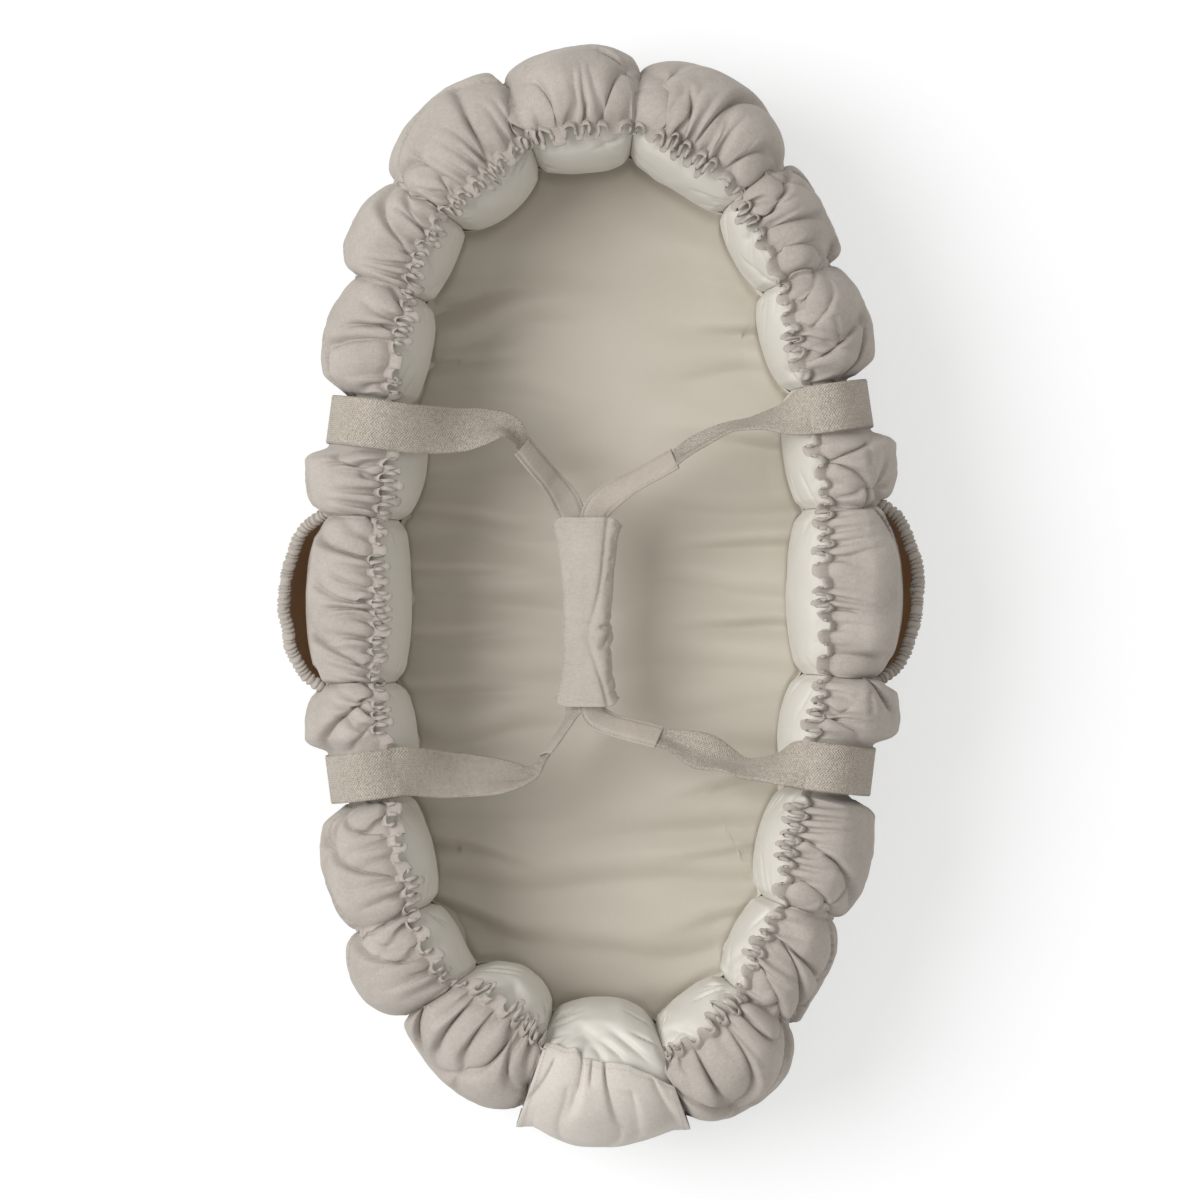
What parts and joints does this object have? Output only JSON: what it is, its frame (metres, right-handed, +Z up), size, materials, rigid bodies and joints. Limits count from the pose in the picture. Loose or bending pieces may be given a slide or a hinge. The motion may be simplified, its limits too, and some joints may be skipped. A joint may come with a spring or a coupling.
{
  "type": "infant lounger",
  "caption": "Oval soft carry nest: a ring of stuffed chambers round a padded floor, in a gathered outer cover with side pockets and strap handles joined by a wrapped grip.",
  "frame": {"origin": "on the floor, under the middle of the lounger", "axes": "+X to the right side, +Y to the head end, +Z up"},
  "size_m": [0.5063, 0.8528, 0.1877],
  "materials": {
    "cover_linen": "washed linen, matt",
    "nest_cotton": "cotton sateen, soft sheen",
    "webbing": "herringbone cotton webbing, matt",
    "elastic": "woven elastic",
    "foam": "open foam",
    "hook_loop": "hook and loop tape"
  },
  "bodies": {
    "nest": {"wall_chamber_head": "nest_cotton", "wall_chamber_head_right": "nest_cotton", "wall_chamber_right_1": "nest_cotton", "wall_chamber_right_2": "nest_cotton", "wall_chamber_right_3": "nest_cotton", "wall_chamber_right_4": "nest_cotton", "wall_chamber_right_5": "nest_cotton", "wall_chamber_right_6": "nest_cotton", "wall_chamber_right_7": "nest_cotton", "wall_chamber_right_8": "nest_cotton", "wall_chamber_foot": "nest_cotton", "wall_chamber_left_8": "nest_cotton", "wall_chamber_left_7": "nest_cotton", "wall_chamber_left_6": "nest_cotton", "wall_chamber_left_5": "nest_cotton", "wall_chamber_left_4": "nest_cotton", "wall_chamber_left_3": "nest_cotton", "wall_chamber_left_2": "nest_cotton", "wall_chamber_left_1": "nest_cotton", "wall_chamber_head_left": "nest_cotton", "cover_head_panel": "cover_linen", "cover_right_panel": "cover_linen", "cover_foot_panel": "cover_linen", "cover_left_panel": "cover_linen", "cover_elastic": "elastic", "foot_flap": "cover_linen", "cover_bottom": "cover_linen", "nest_bottom": "nest_cotton", "mattress_core": "foam", "floor_pad": "nest_cotton", "pocket_left_panel": "cover_linen", "pocket_left_rim": "cover_linen", "pocket_left_elastic": "elastic", "pocket_right_panel": "cover_linen", "pocket_right_rim": "cover_linen", "pocket_right_elastic": "elastic", "base_strap_head": "webbing", "wall_strap_head_left": "webbing", "strap_arm_head_left": "webbing", "wall_strap_head_right": "webbing", "strap_arm_head_right": "webbing", "base_strap_foot": "webbing", "wall_strap_foot_left": "webbing", "strap_arm_foot_left": "webbing", "wall_strap_foot_right": "webbing", "strap_arm_foot_right": "webbing"},
    "grip": {"handle_left_sleeve": "cover_linen", "handle_left_core": "webbing", "handle_right_sleeve": "cover_linen", "handle_right_core": "webbing", "grip_wrap": "cover_linen", "grip_loop_tape": "hook_loop"},
    "wrap_flap": {"grip_flap": "cover_linen", "grip_hook_tape": "hook_loop"}
  },
  "joints": [
    {"name": "grip_lift", "type": "slide", "parent": "nest", "child": "grip", "axis": [0, 0, 1], "range_m": [0, 0.15], "deforming": ["strap_arm_head_left", "strap_arm_head_right", "strap_arm_foot_left", "strap_arm_foot_right"]},
    {"name": "grip_flap_open", "type": "hinge", "parent": "grip", "child": "wrap_flap", "pos_m": [-0.0384, -0.0095, 0.1178], "axis": [0, -1, 0], "range_deg": [0, 150]}
  ]
}
